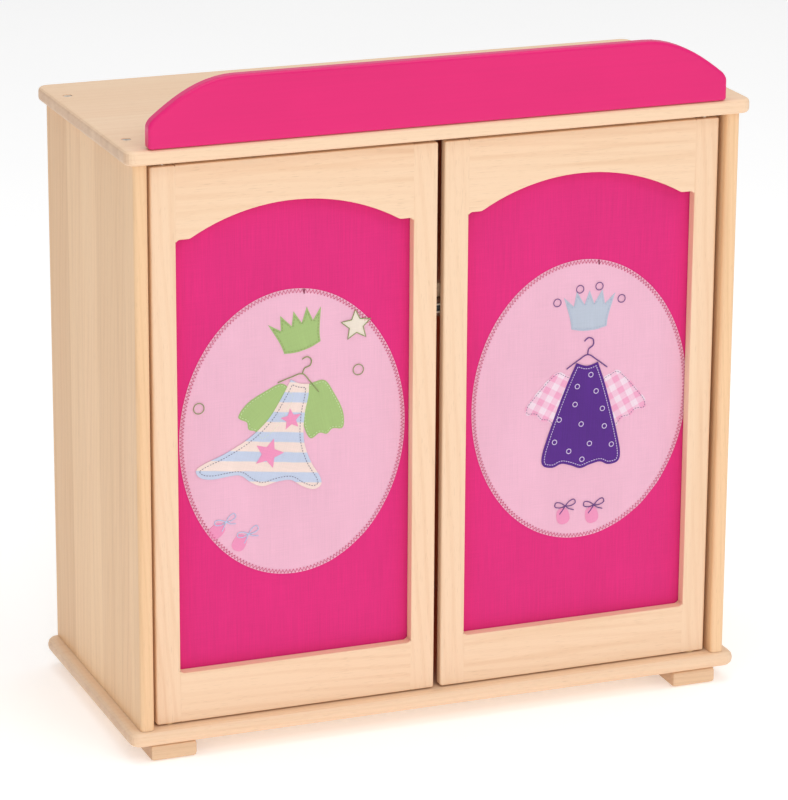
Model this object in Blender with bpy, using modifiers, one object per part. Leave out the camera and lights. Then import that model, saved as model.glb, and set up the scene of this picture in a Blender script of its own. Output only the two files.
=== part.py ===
"""Miniature wardrobe for dolls' clothes: a pine carcass with a hat shelf, a hanging rail and two framed
fabric doors that turn on pivot pins. Metres, +Z up, front towards -Y, feet on z = 0."""

from math import atan2, cos, pi, radians, sin, sqrt

import bmesh
import bpy
from mathutils import Vector

# Gap left between two solids that touch on the real object.
FIT = 0.0003
# Bezier handle that makes a quarter circle, as a part of its radius.
QUARTER_HANDLE = 0.5523

# Carcass
CARCASS_WIDTH = 0.540
SIDE_DEPTH = 0.244
INNER_HEIGHT = 0.490
SIDE_THICKNESS = 0.012
SIDE_EDGE_RADIUS = 0.0035
TOP_THICKNESS = 0.0125
TOP_SIDE_OVERHANG = 0.0080
TOP_FRONT_OVERHANG = 0.0075
TOP_EDGE_RADIUS = 0.0035
BASE_THICKNESS = 0.013
BASE_SIDE_OVERHANG = 0.010
BASE_FRONT_OVERHANG = 0.005
BASE_EDGE_RADIUS = 0.0055
REAR_OVERHANG = 0.0055
PLAN_CORNER_RADIUS = 0.010
PLAN_CORNER_SEGMENTS = 6
BACK_THICKNESS = 0.004
SMALL_EDGE = 0.0008

# Gallery board along the front of the top
GALLERY_LENGTH = 0.512
GALLERY_HEIGHT = 0.0563
GALLERY_THICKNESS = 0.012
GALLERY_SETBACK = 0.0003
GALLERY_END_HEIGHT = 0.0208
GALLERY_CURVE_LENGTH = 0.076
GALLERY_END_RADIUS = 0.004
GALLERY_FOOT_RADIUS = 0.003
# The gallery is fixed a little left of the middle.
GALLERY_OFFSET = -0.003
# Lengths of the sweep's Bezier handles: the foot's along and up, then the crest's along.
GALLERY_FOOT_HANDLE = (0.025, 0.021)
GALLERY_CREST_HANDLE = 0.029
GALLERY_EDGE_RADIUS = 0.0025

# Feet
FOOT_LENGTH = 0.041
FOOT_DEPTH = 0.041
FOOT_HEIGHT = 0.014
FOOT_INSET = 0.018
FOOT_SETBACK = 0.0035
FOOT_EDGE_RADIUS = 0.003

# Hat shelf, its pegs and the hanging rail
SHELF_UNDERSIDE = 0.346
SHELF_THICKNESS = 0.012
SHELF_SETBACK = 0.026
PEG_RADIUS = 0.003
PEG_LENGTH = 0.022
PEG_IN_PANEL = 0.008
PEG_FROM_EDGE = 0.030
RAIL_RADIUS = 0.0065
RAIL_DROP = 0.036
RAIL_IN_PANEL = 0.006
HOLE_PAST_FACE = 0.002

# Doors
DOOR_GAP_BETWEEN = 0.006
DOOR_GAP_AT_SIDE = 0.004
DOOR_GAP_BELOW = 0.0014
DOOR_GAP_ABOVE = 0.005
DOOR_RECESS = 0.0075
FRAME_THICKNESS = 0.010
STILE_WIDTH = 0.0215
BOTTOM_RAIL_HEIGHT = 0.0438
TOP_RAIL_HEIGHT = 0.0628  # above the shoulders
SHOULDER_WIDTH = 0.0121
ARCH_RISE = 0.025
CUSP_RADIUS = 0.006
OPENING_CORNER_RADIUS = 0.004
DOOR_EDGE_RADIUS = 0.002
TENON_LENGTH = 0.010
TENON_ROOT = 0.006
TENON_THICKNESS = 0.004
TENON_SHOULDER = 0.006
TENON_PAST_PIN = 0.002
CAP_UNDER_CORNER = 0.0024
RAIL_TRIM = 0.006

# Fabric panel and the battens that clamp it behind the frame
FABRIC_THICKNESS = 0.0008
FABRIC_MARGIN = 0.006
BATTEN_WIDTH = 0.007
BATTEN_THICKNESS = 0.003
BATTEN_SET_OUT = 0.001

# Pivot pins
PIVOT_INSET = 0.012
PIVOT_RADIUS = 0.0015
PIVOT_IN_BOARD = 0.010
PIVOT_IN_DOOR = 0.014
PIVOT_CLEARANCE = 0.00008
PIVOT_TIP_GAP = 0.0008
WASHER_RADIUS = 0.004

# Magnetic catch under the shelf and the strike plates on the doors
CATCH_WIDTH = 0.032
CATCH_HEIGHT = 0.015
CATCH_DEPTH = 0.018
CATCH_EDGE_RADIUS = 0.001
CATCH_EAR = 0.0055
CATCH_CLEARANCE = 0.0004
MAGNET_INSET = 0.001
MAGNET_HEIGHT = 0.0048
MAGNET_DEPTH = 0.010
POLE_THICKNESS = 0.0012
POLE_PROUD = 0.0008
POLE_DEPTH = 0.012
STRIKE_WIDTH = 0.0095
STRIKE_HEIGHT = 0.024
STRIKE_THICKNESS = 0.001
STRIKE_FROM_EDGE = 0.0010
STRIKE_REST_GAP = 0.0004

# Screws: countersunk, cross recess
ROUND_SEGMENTS = 24
SCREW_RIM = 0.0004
BOARD_SCREW = {"head": 0.0038, "shank": 0.0018, "length": 0.034, "sunk": 0.0005}
GALLERY_SCREW = {"head": 0.0035, "shank": 0.0016, "length": 0.034, "sunk": 0.0005}
CATCH_SCREW = {"head": 0.0021, "shank": 0.0010, "length": 0.024, "sunk": 0.0003}
STRIKE_SCREW = {"head": 0.0022, "shank": 0.0010, "length": 0.008, "sunk": 0.0001}
SCREW_CLEARANCE = 0.0003
BOARD_SCREW_FROM_FRONT = 0.037
BOARD_SCREW_FROM_REAR = 0.043
GALLERY_SCREW_FROM_END = 0.090
CATCH_SCREW_FROM_FRONT = 0.009
RECESS_WIDTH = 0.0008
RECESS_DEPTH = 0.0011
RECESS_SPAN = 1.15  # of the head's radius

# Levels and planes that follow from the sizes above
HALF_INNER_WIDTH = CARCASS_WIDTH / 2 - SIDE_THICKNESS
TOP_DEPTH = TOP_FRONT_OVERHANG + SIDE_DEPTH + REAR_OVERHANG
SIDE_FRONT = TOP_FRONT_OVERHANG - TOP_DEPTH / 2
SIDE_REAR = SIDE_FRONT + SIDE_DEPTH
BASE_BOTTOM = FOOT_HEIGHT + FIT
BASE_TOP = BASE_BOTTOM + BASE_THICKNESS
TOP_BOTTOM = BASE_TOP + INNER_HEIGHT
TOP_TOP = TOP_BOTTOM + TOP_THICKNESS
PANEL_MIDDLE = CARCASS_WIDTH / 2 - SIDE_THICKNESS / 2
BACK_FRONT = SIDE_REAR - BACK_THICKNESS
DOOR_WIDTH = HALF_INNER_WIDTH - DOOR_GAP_AT_SIDE - DOOR_GAP_BETWEEN / 2
DOOR_BOTTOM = BASE_TOP + DOOR_GAP_BELOW
DOOR_TOP = TOP_BOTTOM - DOOR_GAP_ABOVE
DOOR_OUTER = HALF_INNER_WIDTH - DOOR_GAP_AT_SIDE
DOOR_INNER = DOOR_GAP_BETWEEN / 2
DOOR_FRONT = SIDE_FRONT + DOOR_RECESS
DOOR_BACK = DOOR_FRONT + FRAME_THICKNESS
DOOR_MIDDLE = (DOOR_OUTER + DOOR_INNER) / 2
PIVOT_X = DOOR_OUTER - PIVOT_INSET
PIVOT_Y = DOOR_FRONT + FRAME_THICKNESS / 2
WASHER_THICKNESS = DOOR_GAP_BELOW - 2 * FIT
OPENING_HALF_WIDTH = DOOR_WIDTH / 2 - STILE_WIDTH
OPENING_BOTTOM = DOOR_BOTTOM + BOTTOM_RAIL_HEIGHT
SHOULDER = DOOR_TOP - TOP_RAIL_HEIGHT
ARCH_HALF_WIDTH = OPENING_HALF_WIDTH - SHOULDER_WIDTH
ARCH_RADIUS = (ARCH_HALF_WIDTH**2 + ARCH_RISE**2) / (2 * ARCH_RISE)
ARCH_TOP = SHOULDER + ARCH_RISE
ARCH_CENTRE = ARCH_TOP - ARCH_RADIUS
TOP_RAIL_BOTTOM = SHOULDER - CAP_UNDER_CORNER
FABRIC_FRONT = DOOR_BACK + FIT
FABRIC_BACK = FABRIC_FRONT + FABRIC_THICKNESS
SHELF_BOTTOM = BASE_TOP + SHELF_UNDERSIDE
SHELF_TOP = SHELF_BOTTOM + SHELF_THICKNESS
SHELF_FRONT = SIDE_FRONT + SHELF_SETBACK
CATCH_TOP = SHELF_BOTTOM - FIT
CATCH_MIDDLE = CATCH_TOP - CATCH_HEIGHT / 2
STRIKE_BACK = DOOR_BACK + FIT + STRIKE_THICKNESS
POLE_FRONT = STRIKE_BACK + STRIKE_REST_GAP
CATCH_FRONT = POLE_FRONT + POLE_PROUD
POLE_WIDTH = CATCH_WIDTH - 2 * CATCH_EAR
MAGNET_WIDTH = POLE_WIDTH - 2 * MAGNET_INSET
CATCH_SCREW_X = CATCH_WIDTH / 2 - CATCH_EAR / 2

PINE = ("pine", (0.94, 0.74, 0.50), 0.45, 0.0)
PINE_DARK = ("pine_inside", (0.80, 0.56, 0.34), 0.55, 0.0)
PINK_PAINT = ("pink_paint", (0.78, 0.045, 0.20), 0.30, 0.0)
PINK_FABRIC = ("pink_fabric", (0.72, 0.035, 0.19), 0.85, 0.0)
STEEL = ("steel", (0.70, 0.70, 0.68), 0.30, 1.0)
BRIGHT_STEEL = ("zinc_plate", (0.78, 0.77, 0.72), 0.35, 1.0)
BROWN_PLASTIC = ("brown_plastic", (0.20, 0.10, 0.06), 0.50, 0.0)
FERRITE = ("ferrite", (0.07, 0.07, 0.07), 0.60, 0.2)


def clear_scene():
    for obj in list(bpy.data.objects):
        bpy.data.objects.remove(obj, do_unlink=True)


def make_collection(name):
    collection = bpy.data.collections.new(name)
    bpy.context.scene.collection.children.link(collection)
    return collection


def material(kind):
    """The Principled material of one finish, made on first use."""
    name, colour, roughness, metallic = kind
    found = bpy.data.materials.get(name)
    if found:
        return found
    made = bpy.data.materials.new(name)
    made.use_nodes = True
    shader = made.node_tree.nodes["Principled BSDF"]
    shader.inputs["Base Color"].default_value = (*colour, 1.0)
    shader.inputs["Roughness"].default_value = roughness
    shader.inputs["Metallic"].default_value = metallic
    made.diffuse_color = (*colour, 1.0)
    return made


def new_object(name, mesh, kind, parent=None):
    """A part object; under a parent, its location is counted from the parent's."""
    obj = bpy.data.objects.new(name, mesh)
    if kind is None:
        CUTTERS.objects.link(obj)
        obj.display_type = "WIRE"
        obj.hide_render = True
    else:
        PARTS.objects.link(obj)
        mesh.materials.append(material(kind))
    obj.parent = parent
    return obj


def place(obj, location):
    origin = obj.parent.location if obj.parent else Vector()
    obj.location = Vector(location) - origin


def new_empty(name, location):
    empty = bpy.data.objects.new(name, None)
    PARTS.objects.link(empty)
    empty.location = location
    return empty


def bevel(obj, width, segments=3, angle=40):
    modifier = obj.modifiers.new("Rounded edges", "BEVEL")
    modifier.width = width
    modifier.segments = segments
    modifier.limit_method = "ANGLE"
    modifier.angle_limit = radians(angle)


def boolean(obj, other, operation="DIFFERENCE", solver="EXACT"):
    modifier = obj.modifiers.new(f"{operation.title()} {other.name}", "BOOLEAN")
    modifier.operation = operation
    modifier.solver = solver
    modifier.object = other


def upright(edge):
    """Whether an edge runs along Z."""
    a, b = (vertex.co for vertex in edge.verts)
    return abs(a.x - b.x) < 1e-6 and abs(a.y - b.y) < 1e-6


def smooth_rounds(shape):
    """Shades smooth every face that isn't square to an axis."""
    shape.normal_update()
    for face in shape.faces:
        face.smooth = max(abs(part) for part in face.normal) < 0.999


def box(name, low, high, kind, edge=0.0, corner=0.0, parent=None, segments=3):
    """A board between two corners, its upright edges rounded by corner and the rest by edge."""
    low, high = Vector(low), Vector(high)
    mesh = bpy.data.meshes.new(name)
    shape = bmesh.new()
    bmesh.ops.create_cube(shape, size=1.0)
    bmesh.ops.scale(shape, vec=high - low, verts=shape.verts)
    if corner:
        bmesh.ops.bevel(
            shape,
            geom=[side for side in shape.edges if upright(side)],
            offset=corner,
            segments=PLAN_CORNER_SEGMENTS,
            profile=0.5,
            affect="EDGES",
        )
        smooth_rounds(shape)
    shape.to_mesh(mesh)
    shape.free()
    obj = new_object(name, mesh, kind, parent)
    place(obj, (low + high) / 2)
    if edge:
        bevel(obj, edge, segments)
    return obj


def rod(name, start, end, radius, kind, chamfer=0.0, parent=None):
    """A round bar between two points."""
    start, end = Vector(start), Vector(end)
    mesh = bpy.data.meshes.new(name)
    shape = bmesh.new()
    bmesh.ops.create_cone(
        shape,
        cap_ends=True,
        segments=ROUND_SEGMENTS,
        radius1=radius,
        radius2=radius,
        depth=(end - start).length,
    )
    for face in shape.faces:
        face.smooth = len(face.verts) == 4
    shape.to_mesh(mesh)
    shape.free()
    obj = new_object(name, mesh, kind, parent)
    place(obj, (start + end) / 2)
    obj.rotation_mode = "QUATERNION"
    obj.rotation_quaternion = (end - start).to_track_quat("Z", "Y")
    if chamfer:
        bevel(obj, chamfer, 2)
    return obj


def turned(name, profile, kind, location, direction, parent=None):
    """A solid turned about Z from a profile of (radius, height), then pointed along direction."""
    mesh = bpy.data.meshes.new(name)
    edges = [(i, i + 1) for i in range(len(profile) - 1)]
    mesh.from_pydata([(radius, 0.0, height) for radius, height in profile], edges, [])
    obj = new_object(name, mesh, kind, parent)
    screw = obj.modifiers.new("Turned", "SCREW")
    screw.axis = "Z"
    screw.steps = ROUND_SEGMENTS
    screw.render_steps = ROUND_SEGMENTS
    screw.use_merge_vertices = True
    screw.merge_threshold = 0.00001
    screw.use_smooth_shade = True
    place(obj, location)
    obj.rotation_mode = "QUATERNION"
    obj.rotation_quaternion = Vector(direction).to_track_quat("Z", "Y")
    return obj


def screw_profile(size, grow=0.0, above=0.0):
    """Outline of a countersunk screw with its head's top at z = 0 and its point at z = -length."""
    head, shank, length = size["head"] + grow, size["shank"] + grow, size["length"] + grow
    cone = size["head"] - size["shank"]
    return [
        (0.0, above),
        (head, above),
        (head, -SCREW_RIM),
        (shank, -SCREW_RIM - cone),
        (shank, -length + 2 * shank),
        (0.0, -length),
    ]


def wood_screw(name, surface, direction, size, through, kind=STEEL, parent=None):
    """A screw sunk into a surface, head facing along direction, with its hole in each piece of through."""
    surface, direction = Vector(surface), Vector(direction)
    head_top = surface - direction * size["sunk"]
    screw = turned(name, screw_profile(size), kind, head_top, direction, parent)
    hole_outline = screw_profile(size, SCREW_CLEARANCE, 2 * size["sunk"])
    hole = turned(name + "_hole", hole_outline, None, head_top, direction, parent)
    for piece in through:
        boolean(piece, hole)
    reach = size["head"] * RECESS_SPAN
    for index, half in enumerate(((reach / 2, RECESS_WIDTH / 2), (RECESS_WIDTH / 2, reach / 2))):
        low = (-half[0], -half[1], -RECESS_DEPTH)
        high = (half[0], half[1], RECESS_DEPTH)
        slot = box(f"{name}_recess_{index}", low, high, None, parent=parent)
        place(slot, head_top)
        slot.rotation_mode = "QUATERNION"
        slot.rotation_quaternion = direction.to_track_quat("Z", "Y")
        boolean(screw, slot)
    return screw


def arc(centre, radius, start, end, steps):
    """Points along an arc in the XZ plane, angles in degrees from +X towards +Z."""
    turns = [radians(start + (end - start) * i / steps) for i in range(steps + 1)]
    return [(centre[0] + radius * cos(turn), centre[1] + radius * sin(turn)) for turn in turns]


def mesh_from_curve(curve_object, name):
    """The welded mesh of a curve, whose object is removed."""
    bpy.context.view_layer.update()
    graph = bpy.context.evaluated_depsgraph_get()
    mesh = bpy.data.meshes.new_from_object(curve_object.evaluated_get(graph))
    mesh.name = name
    mesh.transform(curve_object.matrix_world)
    bpy.data.objects.remove(curve_object, do_unlink=True)
    shape = bmesh.new()
    shape.from_mesh(mesh)
    bmesh.ops.remove_doubles(shape, verts=shape.verts, dist=0.00001)
    bmesh.ops.recalc_face_normals(shape, faces=shape.faces)
    shape.to_mesh(mesh)
    shape.free()
    mesh.materials.clear()
    return mesh


def outline_curve(name, thickness, edge=0.0):
    """An empty flat curve, drawn in XZ and thickened along Y, its edges rounded inwards by edge."""
    curve = bpy.data.curves.new(name, "CURVE")
    curve.dimensions = "2D"
    curve.fill_mode = "BOTH"
    curve.extrude = thickness / 2 - edge
    curve.bevel_depth = edge
    curve.bevel_resolution = 2
    curve.offset = -edge
    curve.resolution_u = 10
    obj = bpy.data.objects.new(name, curve)
    CUTTERS.objects.link(obj)
    obj.rotation_euler = (pi / 2, 0.0, 0.0)
    return obj


def poly_prism(name, points, thickness):
    """A cutter with a straight-sided outline in XZ, centred on y = 0."""
    obj = outline_curve(name, thickness)
    spline = obj.data.splines.new("POLY")
    spline.points.add(len(points) - 1)
    for point, (x, z) in zip(spline.points, points):
        point.co = (x, z, 0.0, 1.0)
    spline.use_cyclic_u = True
    return new_object(name, mesh_from_curve(obj, name), None)


# Carcass


def build_boards():
    half_top = CARCASS_WIDTH / 2 + TOP_SIDE_OVERHANG
    half_base = CARCASS_WIDTH / 2 + BASE_SIDE_OVERHANG
    rear = SIDE_REAR + REAR_OVERHANG
    top = box(
        "top_board",
        (-half_top, SIDE_FRONT - TOP_FRONT_OVERHANG, TOP_BOTTOM),
        (half_top, rear, TOP_TOP),
        PINE,
        TOP_EDGE_RADIUS,
        PLAN_CORNER_RADIUS,
    )
    base = box(
        "base_board",
        (-half_base, SIDE_FRONT - BASE_FRONT_OVERHANG, BASE_BOTTOM),
        (half_base, rear, BASE_TOP),
        PINE,
        BASE_EDGE_RADIUS,
        PLAN_CORNER_RADIUS,
    )
    return top, base


def build_sides():
    sides = {}
    for name, side in (("left", -1), ("right", 1)):
        faces = sorted((side * CARCASS_WIDTH / 2, side * HALF_INNER_WIDTH))
        sides[side] = box(
            f"{name}_side_panel",
            (faces[0], SIDE_FRONT, BASE_TOP + FIT),
            (faces[1], SIDE_REAR, TOP_BOTTOM - FIT),
            PINE,
        )
        round_front_edges(sides[side])
    return sides


def round_front_edges(panel):
    """Rounds a side panel's two upright front edges."""
    shape = bmesh.new()
    shape.from_mesh(panel.data)
    front = min(vertex.co.y for vertex in shape.verts)
    edges = [
        edge
        for edge in shape.edges
        if upright(edge) and all(abs(vertex.co.y - front) < 1e-6 for vertex in edge.verts)
    ]
    bmesh.ops.bevel(
        shape, geom=edges, offset=SIDE_EDGE_RADIUS, segments=5, profile=0.5, affect="EDGES"
    )
    smooth_rounds(shape)
    shape.to_mesh(panel.data)
    shape.free()


def build_back():
    half = HALF_INNER_WIDTH - FIT
    box(
        "back_panel",
        (-half, BACK_FRONT, BASE_TOP + FIT),
        (half, SIDE_REAR, TOP_BOTTOM - FIT),
        PINE_DARK,
    )


def build_shelf(sides):
    half = HALF_INNER_WIDTH - FIT
    rear = BACK_FRONT - FIT
    shelf = box(
        "hat_shelf",
        (-half, SHELF_FRONT, SHELF_BOTTOM),
        (half, rear, SHELF_TOP),
        PINE,
        SMALL_EDGE,
        segments=2,
    )
    peg_level = SHELF_BOTTOM - FIT - PEG_RADIUS
    for name, side in (("left", -1), ("right", 1)):
        for where, y in (("front", SHELF_FRONT + PEG_FROM_EDGE), ("rear", rear - PEG_FROM_EDGE)):
            inner = side * (HALF_INNER_WIDTH + PEG_IN_PANEL - PEG_LENGTH)
            outer = side * (HALF_INNER_WIDTH + PEG_IN_PANEL)
            peg_name = f"shelf_peg_{where}_{name}"
            rod(peg_name, (inner, y, peg_level), (outer, y, peg_level), PEG_RADIUS, PINE, 0.0005)
            mouth = side * (HALF_INNER_WIDTH - HOLE_PAST_FACE)
            blind_hole(sides[side], peg_name, outer + side * FIT, mouth, y, peg_level, PEG_RADIUS)
    return shelf


def blind_hole(panel, name, bottom, mouth, y, z, radius):
    """Cuts a hole along X into a panel, a little wider than the bar that stands in it."""
    hole = rod(f"{name}_hole", (bottom, y, z), (mouth, y, z), radius + FIT, None)
    boolean(panel, hole)


def build_rail(sides):
    y = (SHELF_FRONT + BACK_FRONT) / 2
    z = SHELF_BOTTOM - RAIL_DROP
    reach = HALF_INNER_WIDTH + RAIL_IN_PANEL
    rod("hanging_rail", (-reach, y, z), (reach, y, z), RAIL_RADIUS, PINE, 0.0006)
    for side in (-1, 1):
        name = f"hanging_rail_{side}"
        mouth = side * (HALF_INNER_WIDTH - HOLE_PAST_FACE)
        blind_hole(sides[side], name, side * (reach + FIT), mouth, y, z, RAIL_RADIUS)


def build_feet():
    front = SIDE_FRONT - BASE_FRONT_OVERHANG + FOOT_SETBACK
    rear = SIDE_REAR + REAR_OVERHANG - FOOT_SETBACK
    outer = CARCASS_WIDTH / 2 + BASE_SIDE_OVERHANG - FOOT_INSET
    for name, side in (("left", -1), ("right", 1)):
        xs = sorted((side * outer, side * (outer - FOOT_LENGTH)))
        for where, low_y in (("front", front), ("rear", rear - FOOT_DEPTH)):
            box(
                f"foot_{where}_{name}",
                (xs[0], low_y, 0.0),
                (xs[1], low_y + FOOT_DEPTH, FOOT_HEIGHT),
                PINE,
                FOOT_EDGE_RADIUS,
                segments=2,
            )


def build_board_screws(top, base, sides):
    for name, side in (("left", -1), ("right", 1)):
        x = side * PANEL_MIDDLE
        for where, y in (
            ("front", SIDE_FRONT + BOARD_SCREW_FROM_FRONT),
            ("rear", SIDE_REAR - BOARD_SCREW_FROM_REAR),
        ):
            above, below = (x, y, TOP_TOP), (x, y, BASE_BOTTOM)
            wood_screw(f"top_screw_{where}_{name}", above, (0, 0, 1), BOARD_SCREW, (top, sides[side]))
            wood_screw(f"base_screw_{where}_{name}", below, (0, 0, -1), BOARD_SCREW, (base, sides[side]))


def build_gallery(top):
    front = SIDE_FRONT - TOP_FRONT_OVERHANG + GALLERY_SETBACK
    bottom = TOP_TOP + FIT
    obj = outline_curve("gallery_outline", GALLERY_THICKNESS, GALLERY_EDGE_RADIUS)
    half = GALLERY_LENGTH / 2
    crest = half - GALLERY_CURVE_LENGTH
    knee, foot = GALLERY_END_RADIUS, GALLERY_FOOT_RADIUS
    foot_x, foot_z = half - knee, GALLERY_END_HEIGHT + knee
    # Each corner: its place, then its handles before and after, all as (x, z).
    right = [
        ((half - foot, 0.0), None, (half - foot * (1 - QUARTER_HANDLE), 0.0)),
        ((half, foot), (half, foot * (1 - QUARTER_HANDLE)), None),
        ((half, GALLERY_END_HEIGHT - knee), None, (half, GALLERY_END_HEIGHT - knee / 3)),
        (
            (foot_x, foot_z),
            (half - knee / 3, GALLERY_END_HEIGHT + knee / 3),
            (half - GALLERY_FOOT_HANDLE[0], GALLERY_END_HEIGHT + GALLERY_FOOT_HANDLE[1]),
        ),
        ((crest, GALLERY_HEIGHT), (crest + GALLERY_CREST_HANDLE, GALLERY_HEIGHT), None),
    ]
    left = [
        tuple(None if point is None else (-point[0], point[1]) for point in (at, after, before))
        for at, before, after in reversed(right)
    ]
    corners = right + left
    spline = obj.data.splines.new("BEZIER")
    spline.bezier_points.add(len(corners) - 1)
    for point, (at, before, after) in zip(spline.bezier_points, corners):
        point.co = (*at, 0.0)
        point.handle_left_type = "FREE" if before else "VECTOR"
        point.handle_right_type = "FREE" if after else "VECTOR"
        point.handle_left = (*(before or at), 0.0)
        point.handle_right = (*(after or at), 0.0)
    spline.use_cyclic_u = True
    gallery = new_object("gallery_board", mesh_from_curve(obj, "gallery_board"), PINK_PAINT)
    place(gallery, (GALLERY_OFFSET, front + GALLERY_THICKNESS / 2, bottom))
    for name, side in (("left", -1), ("right", 1)):
        wood_screw(
            f"gallery_screw_{name}",
            (
                GALLERY_OFFSET + side * (half - GALLERY_SCREW_FROM_END),
                front + GALLERY_THICKNESS / 2,
                TOP_BOTTOM,
            ),
            (0, 0, -1),
            GALLERY_SCREW,
            (top, gallery),
        )


def build_catch(shelf):
    half = CATCH_WIDTH / 2
    housing = box(
        "catch_housing",
        (-half, CATCH_FRONT, CATCH_TOP - CATCH_HEIGHT),
        (half, CATCH_FRONT + CATCH_DEPTH, CATCH_TOP),
        BROWN_PLASTIC,
        CATCH_EDGE_RADIUS,
        segments=2,
    )
    stack = MAGNET_HEIGHT + 2 * (POLE_THICKNESS + FIT)
    pocket_half = POLE_WIDTH / 2 + FIT
    pocket = box(
        "catch_pocket",
        (-pocket_half, CATCH_FRONT - CATCH_DEPTH, CATCH_MIDDLE - stack / 2 - FIT),
        (pocket_half, POLE_FRONT + POLE_DEPTH + FIT, CATCH_MIDDLE + stack / 2 + FIT),
        None,
    )
    boolean(housing, pocket)
    box(
        "catch_magnet",
        (-MAGNET_WIDTH / 2, CATCH_FRONT + FIT, CATCH_MIDDLE - MAGNET_HEIGHT / 2),
        (MAGNET_WIDTH / 2, CATCH_FRONT + FIT + MAGNET_DEPTH, CATCH_MIDDLE + MAGNET_HEIGHT / 2),
        FERRITE,
    )
    for name, side in (("upper", 1), ("lower", -1)):
        near = MAGNET_HEIGHT / 2 + FIT
        levels = sorted((CATCH_MIDDLE + side * near, CATCH_MIDDLE + side * (near + POLE_THICKNESS)))
        box(
            f"catch_pole_{name}",
            (-POLE_WIDTH / 2, POLE_FRONT, levels[0]),
            (POLE_WIDTH / 2, POLE_FRONT + POLE_DEPTH, levels[1]),
            STEEL,
        )
    for name, side in (("left", -1), ("right", 1)):
        wood_screw(
            f"catch_screw_{name}",
            (side * CATCH_SCREW_X, CATCH_FRONT + CATCH_SCREW_FROM_FRONT, CATCH_TOP - CATCH_HEIGHT),
            (0, 0, -1),
            CATCH_SCREW,
            (housing, shelf),
        )


# Doors


def opening_outline():
    """Outline of a door's opening: rounded corners, level shoulders and a low arch, about x = 0."""
    half, corner = OPENING_HALF_WIDTH, OPENING_CORNER_RADIUS
    cusp_z = SHOULDER + CUSP_RADIUS
    reach = ARCH_RADIUS + CUSP_RADIUS
    cusp_x = sqrt(reach**2 - (cusp_z - ARCH_CENTRE) ** 2)
    meet = atan2(cusp_z - ARCH_CENTRE, cusp_x) * 180 / pi
    right = arc((half - corner, OPENING_BOTTOM + corner), corner, -90, 0, 5)
    right += arc((half - corner, SHOULDER - corner), corner, 0, 90, 5)
    right += arc((cusp_x, cusp_z), CUSP_RADIUS, -90, meet - 180, 4)
    right += arc((0.0, ARCH_CENTRE), ARCH_RADIUS, meet, 90, 12)[1:]
    return right + [(-x, z) for x, z in reversed(right[:-1])]


def build_stile(name, side, x_outer, x_inner, outside, pivot):
    """An upright frame member, its edge on the outside of the door well rounded."""
    xs = sorted((side * x_outer, side * x_inner))
    stile = box(
        name, (xs[0], DOOR_FRONT, DOOR_BOTTOM), (xs[1], DOOR_BACK, DOOR_TOP), PINE, parent=pivot
    )
    shape = bmesh.new()
    shape.from_mesh(stile.data)
    edge_x = (xs[1] - xs[0]) / 2 * (side if outside else -side)
    edges = [
        edge
        for edge in shape.edges
        if all(abs(vertex.co.x - edge_x) < 1e-6 for vertex in edge.verts)
    ]
    bmesh.ops.bevel(
        shape, geom=edges, offset=DOOR_EDGE_RADIUS, segments=3, profile=0.5, affect="EDGES"
    )
    shape.to_mesh(stile.data)
    shape.free()
    bevel(stile, SMALL_EDGE, 2, 60)
    return stile


def build_rail_member(name, side, low_z, high_z, opening, stiles, pivot):
    """A cross member between the stiles: cut to the opening, edges eased, then trimmed and tenoned."""
    middle = side * DOOR_MIDDLE
    half = OPENING_HALF_WIDTH - FIT
    rail = box(
        name,
        (middle - half - RAIL_TRIM, DOOR_FRONT, low_z),
        (middle + half + RAIL_TRIM, DOOR_BACK, high_z),
        PINE,
        parent=pivot,
    )
    boolean(rail, opening)
    bevel(rail, SMALL_EDGE, 2, 50)
    keep = box(
        f"{name}_length",
        (middle - half, DOOR_FRONT - RAIL_TRIM, low_z - RAIL_TRIM),
        (middle + half, DOOR_BACK + RAIL_TRIM, high_z + RAIL_TRIM),
        None,
    )
    boolean(rail, keep, "INTERSECT")
    past_pin = PIVOT_IN_DOOR + PIVOT_TIP_GAP + TENON_PAST_PIN
    if high_z == DOOR_TOP:
        levels = (SHOULDER + TENON_SHOULDER, high_z - past_pin)
    else:
        levels = (low_z + past_pin, OPENING_BOTTOM - TENON_SHOULDER)
    for end, stile in zip((side, -side), stiles):
        build_tenon(f"{name}_tenon_{end}", rail, stile, middle, end, half, levels)
    return rail


def build_tenon(name, rail, stile, middle, end, half, levels):
    """A tenon on one end of a rail, and the mortise that it fills in the stile.

    The EXACT solver drops the tenon at the arch's end, so the union takes the MANIFOLD one.
    """
    y = (DOOR_FRONT + DOOR_BACK) / 2
    for grow, piece, operation, solver in (
        (0.0, rail, "UNION", "MANIFOLD"),
        (FIT, stile, "DIFFERENCE", "EXACT"),
    ):
        xs = sorted((middle + end * (half - TENON_ROOT), middle + end * (half + TENON_LENGTH + grow)))
        cutter = box(
            f"{name}_{operation.lower()}",
            (xs[0], y - TENON_THICKNESS / 2 - grow, levels[0] - grow),
            (xs[1], y + TENON_THICKNESS / 2 + grow, levels[1] + grow),
            None,
        )
        boolean(piece, cutter, operation, solver)


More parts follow.
